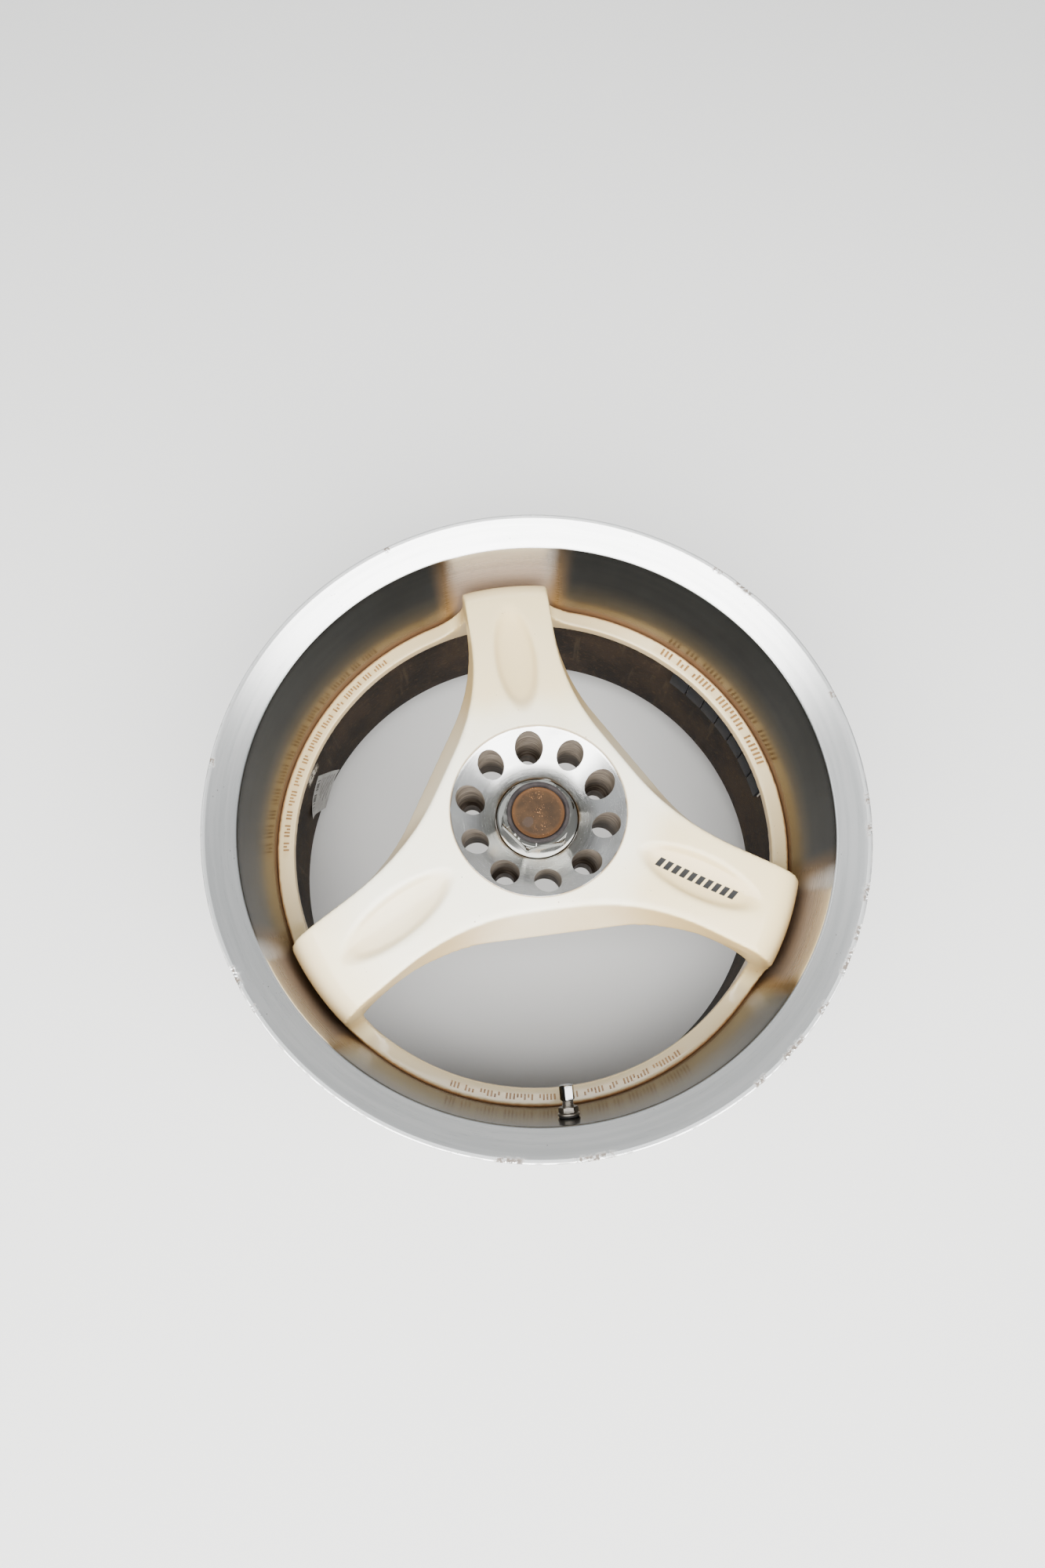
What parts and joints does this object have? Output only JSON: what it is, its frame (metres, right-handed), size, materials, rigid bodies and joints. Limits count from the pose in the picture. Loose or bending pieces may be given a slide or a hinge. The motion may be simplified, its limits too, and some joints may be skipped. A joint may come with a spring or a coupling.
{
  "type": "wheel rim",
  "caption": "Forged racing wheel with broad swept spokes, deep polished lip, hexagonal centre cap, valve and balance weights.",
  "frame": {"origin": "wheel axis at the hub mounting face, centre of the bolt circle", "axes": "+Z along the wheel axis towards the street side, +Y along one spoke, the valve 1.9 degrees round from -Y towards -X"},
  "size_m": [0.4712, 0.4712, 0.241],
  "materials": {
    "barrel_aluminium": "turned and polished bright on the street side, brown with brake dust inside",
    "disc_paint": "painted glossy off-white, yellowed near the ends, with a bright turned hub face",
    "weld_aluminium": "rough as-welded bead",
    "cap_chrome": "bright chrome plating",
    "cap_cup": "dark grey-brown satin",
    "cap_badge": "tarnished brown metal with fine pits",
    "seal_rubber": "black rubber",
    "spring_steel": "bright spring wire",
    "valve_metal": "darkened nickel plating",
    "valve_chrome": "bright nickel plating",
    "core_brass": "machined brass",
    "weight_coating": "dark blue-grey coating",
    "foam_tape": "white foam",
    "label_paper": null
  },
  "bodies": {
    "wheel": {"rim_barrel": "barrel_aluminium", "forged_disc": "disc_paint", "weld_bead": "weld_aluminium", "valve_stem": "valve_metal", "valve_inner_seal": "seal_rubber", "valve_grommet": "seal_rubber", "valve_washer": "valve_metal", "valve_nut": "valve_metal", "valve_core_body": "core_brass", "valve_core_spring": "spring_steel", "balance_weights": "weight_coating", "balance_weight_tape": "foam_tape", "stock_label": "label_paper"},
    "centre_cap": {"centre_cap_nut": "cap_chrome", "centre_cap_cup": "cap_cup", "centre_cap_badge": "cap_badge", "centre_cap_oring": "seal_rubber", "centre_cap_spring_ring": "spring_steel"},
    "valve_core_pin": {"valve_core_pin": "core_brass"},
    "valve_cap_carrier": {"valve_cap_seal": "seal_rubber"},
    "valve_cap": {"valve_cap": "valve_chrome"}
  },
  "joints": [
    {"name": "centre_cap_pull", "type": "slide", "parent": "wheel", "child": "centre_cap", "axis": [0, 0, 1], "range_m": [0, 0.04]},
    {"name": "valve_cap_lift", "type": "slide", "parent": "wheel", "child": "valve_cap_carrier", "axis": [0.0329, 0.9916, 0.1253], "range_m": [0, 0.00556]},
    {"name": "valve_cap_turn", "type": "hinge", "parent": "valve_cap_carrier", "child": "valve_cap", "pos_m": [-0.00695, -0.20948, 0.0295], "axis": [0.0329, 0.9916, 0.1253], "range_deg": [0, 2520]},
    {"name": "valve_core_press", "type": "slide", "parent": "wheel", "child": "valve_core_pin", "axis": [-0.0329, -0.9916, -0.1253], "range_m": [0, 0.0012], "stiffness_N_per_m": 400, "springref_m": -0.0015, "deforming": ["valve_core_spring"]}
  ],
  "couplings": [
    {"joint": "valve_cap_turn", "follows": "valve_cap_lift", "rad_per_m": 7913.3}
  ]
}
